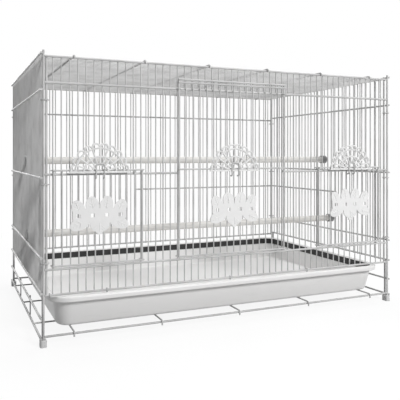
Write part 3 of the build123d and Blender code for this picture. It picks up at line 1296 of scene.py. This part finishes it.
@dataclass
class Studio:
    """White floor, white surround, three soft lamps and the camera of the photograph."""

    focal_pixels: float = 560.0
    yaw_degrees: float = 23.98
    camera_place: tuple[float, float, float] = (-0.4167, -0.9832, 0.2627)
    horizon_pixel: float = 154.8
    floor_size: float = 12.0
    ambient: float = 0.14
    shadow_share: float = 0.10
    shadow_reach: float = 0.62
    shadow_fade: float = 0.35
    sky_tint: tuple[float, float, float, float] = (0.96, 0.98, 1.0, 1.0)
    specks: Cloud = Cloud(0.4, 2.0)
    speck_share: float = 0.1
    floor_dim: float = 0.48
    floor_bright: float = 0.98
    floor_roughness: float = 0.9
    near_clip: float = 0.01
    lamps: tuple[Lamp, ...] = (
        Lamp("key_lamp", (0.55, -2.1, 1.15), (0.0, 0.0, 0.15), 0.45, 38.0),
        Lamp("rear_lamp", (-0.7, 2.4, 1.1), (0.0, 0.0, 0.15), 1.2, 26.0),
        Lamp("top_lamp", (0.3, 0.2, 2.2), (0.0, 0.0, 0.0), 0.9, 29.0),
    )

    def build(self) -> None:
        """Makes the world, the floor, the three lamps and the camera."""
        self.make_world()
        self.make_floor()
        for lamp in self.lamps:
            self.make_lamp(lamp)
        self.make_camera()

    def make_world(self) -> None:
        """White for what the camera and mirrors see, and a dim grey for the light it gives."""
        world = bpy.data.worlds.new("studio_surround")
        bpy.context.scene.world = world
        world.use_nodes = True
        tree = world.node_tree
        tree.nodes.clear()
        output = tree.nodes.new("ShaderNodeOutputWorld")
        mix = tree.nodes.new("ShaderNodeMixShader")
        tree.links.new(self.seen_rays(tree), mix.inputs[0])
        for place, colour, strength in ((1, self.sky_tint, self.ambient), (2, grey(1.0), 1.0)):
            light = tree.nodes.new("ShaderNodeBackground")
            light.inputs["Color"].default_value = colour
            light.inputs["Strength"].default_value = strength
            tree.links.new(light.outputs[0], mix.inputs[place])
        tree.links.new(mix.outputs[0], output.inputs["Surface"])

    def seen_rays(self, tree: bpy.types.NodeTree) -> bpy.types.NodeSocket:
        """One for camera, mirror and see-through rays.

        Args:
            tree: The node tree that takes the nodes.

        Returns:
            The socket.
        """
        path = tree.nodes.new("ShaderNodeLightPath")
        seen = path.outputs["Is Camera Ray"]
        for ray in ("Is Glossy Ray", "Is Transmission Ray"):
            either = tree.nodes.new("ShaderNodeMath")
            either.operation = "MAXIMUM"
            tree.links.new(seen, either.inputs[0])
            tree.links.new(path.outputs[ray], either.inputs[1])
            seen = either.outputs[0]
        return seen

    def make_floor(self) -> None:
        """A white floor whose seen colour is mostly plain white, so that it keeps a faint shadow."""
        half = self.floor_size / 2
        corners = np.array([[-half, -half, 0.0], [half, -half, 0.0], [half, half, 0.0], [-half, half, 0.0]])
        floor = new_piece("studio_floor", corners, [(0, 1, 2, 3)], False)
        shader = Shader("white_floor")
        specks = shader.noise(self.specks)
        seen = Value(shader, self.seen_rays(shader.tree))
        whiteness = specks * self.speck_share + seen * (1.0 - self.speck_share)
        colour = shader.blend(whiteness, grey(self.floor_dim), grey(self.floor_bright))
        inputs = {"Base Color": colour, "Roughness": self.floor_roughness, "Specular IOR Level": 0.0}
        shader.set(shader.surface, inputs)
        glow = shader.add("ShaderNodeEmission", None, {"Color": grey(1.0), "Strength": 1.0})
        length = shader.add("ShaderNodeVectorMath", {"operation": "LENGTH"}, {0: shader.place()})
        away = Value(shader, length.outputs["Value"])
        near = ((self.shadow_reach + self.shadow_fade - away) / self.shadow_fade).clipped()
        mix = shader.add(
            "ShaderNodeMixShader",
            None,
            {0: seen * (1.0 - near * self.shadow_share), 1: shader.surface.outputs[0], 2: glow.outputs[0]},
        )
        shader.set(shader.output, {"Surface": mix.outputs[0]})
        dress(floor, shader.material)

    def make_lamp(self, lamp: Lamp) -> None:
        """Adds one lamp.

        Args:
            lamp: Its measures.
        """
        light = bpy.data.lights.new(lamp.name, "AREA")
        light.size = lamp.size
        light.energy = lamp.power
        holder = bpy.data.objects.new(lamp.name, light)
        bpy.context.scene.collection.objects.link(holder)
        holder.location = lamp.place
        toward = np.array(lamp.target) - np.array(lamp.place)
        tilt = math.atan2(math.hypot(toward[0], toward[1]), -toward[2])
        turn = math.atan2(toward[1], toward[0]) - math.pi / 2
        holder.rotation_euler = (tilt, 0.0, turn)

    def make_camera(self) -> None:
        """A level camera, turned to the right and shifted so that the horizon stands where it does."""
        camera = bpy.data.cameras.new("photo_camera")
        camera.sensor_width = SENSOR_MM
        camera.sensor_fit = "HORIZONTAL"
        camera.lens = self.focal_pixels / PHOTO_SIZE * SENSOR_MM
        camera.shift_y = (self.horizon_pixel - PHOTO_SIZE / 2) / PHOTO_SIZE
        camera.clip_start = self.near_clip
        holder = bpy.data.objects.new("photo_camera", camera)
        bpy.context.scene.collection.objects.link(holder)
        holder.location = self.camera_place
        holder.rotation_euler = (math.pi / 2, 0.0, -math.radians(self.yaw_degrees))
        bpy.context.scene.camera = holder


CAGE_PANELS = [
    ("left_panel_frame", "left_panel_bars"),
    ("right_panel_frame", "right_panel_bars"),
    ("back_panel_frame", "back_panel_bars"),
    ("front_panel_frame", "front_panel_bars"),
    ("left_base_rails",),
    ("right_base_rails",),
    ("base_end_rails", "base_cross_wires"),
]
CAGE_SINGLES = ["top_panel_rails", "top_panel_bars", "corner_rings", "middle_door_guides", "base_runners"]


def build_door(body: Body, frame: dict[str, Any], finishes: Finishes) -> None:
    """Dresses one door.

    Args:
        body: The door's body.
        frame: The loaded frame.
        finishes: The materials.
    """
    name = body.value
    wires = Wirework(body, [(f"{name}_frame", f"{name}_bars")], [f"{name}_eyes", f"{name}_pull"])
    wires.build(frame, finishes)
    ornaments = [f"{name}_sunburst", f"{name}_leaf_plaque"]
    fan, plaque = SmoothNodes(body, ornaments, "ornament_plastic").build(frame, finishes.ornament)
    for relief in (
        FanRelief().build(f"{name}_fan_relief", mesh_box(fan)),
        LeafRelief().build(f"{name}_leaf_relief", mesh_box(plaque)),
    ):
        dress(relief, finishes.ornament)
        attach(relief, name)
    LOG.info("dressed %s", name)


def build_tray(frame: dict[str, Any], finishes: Finishes) -> None:
    """Puts the smooth tray and its dark strip of painted shade in the place of the frame's tray.

    Args:
        frame: The loaded frame.
        finishes: The materials.
    """
    box = mesh_box(frame["nodes"]["tray"])
    shell = TrayShell()
    tray = shell.build("tray_shell", box)
    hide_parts("tray")
    dress(tray, finishes.tray)
    # The strip is painted shade: a black band where the gap under the panels' bottom rails falls dark.
    strip = PaintedShadeStrip().build("tray_painted_shade_strip", shell, box)
    dress(strip, finishes.painted_shade)
    for piece in (tray, strip):
        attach(piece, Body.TRAY.value)
    LOG.info("dressed the tray")


def build_clips(finishes: Finishes) -> None:
    """Adds the rings on the front panel's bottom rail.

    Args:
        finishes: The materials.
    """
    clips = RailClips().build("front_rail_clips")
    dress(clips, finishes.wire)
    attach(clips, Body.CAGE.value)
    LOG.info("added the rail clips")


def main() -> None:
    """Builds the finishes, the dressed pieces and the studio, in order."""
    logging.basicConfig(level=logging.INFO)
    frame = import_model()
    bpy.context.scene.view_settings.view_transform = "Standard"
    finishes = Finishes()
    Wirework(Body.CAGE, CAGE_PANELS, CAGE_SINGLES).build(frame, finishes)
    LOG.info("dressed the cage's wires")
    for body in (Body.LEFT_DOOR, Body.MIDDLE_DOOR, Body.RIGHT_DOOR):
        build_door(body, frame, finishes)
    build_clips(finishes)
    build_tray(frame, finishes)
    SmoothNodes(Body.CAGE, ["upper_perch", "lower_perch"], "perch_wood").build(frame, finishes.wood)
    caps = ["upper_perch_caps", "lower_perch_caps"]
    SmoothNodes(Body.CAGE, caps, "perch_cap_plastic").build(frame, finishes.cap)
    SmoothNodes(Body.CAGE, ["feet"], "foot_plastic").build(frame, finishes.foot)
    Studio().build()


if __name__ == "__main__":
    main()
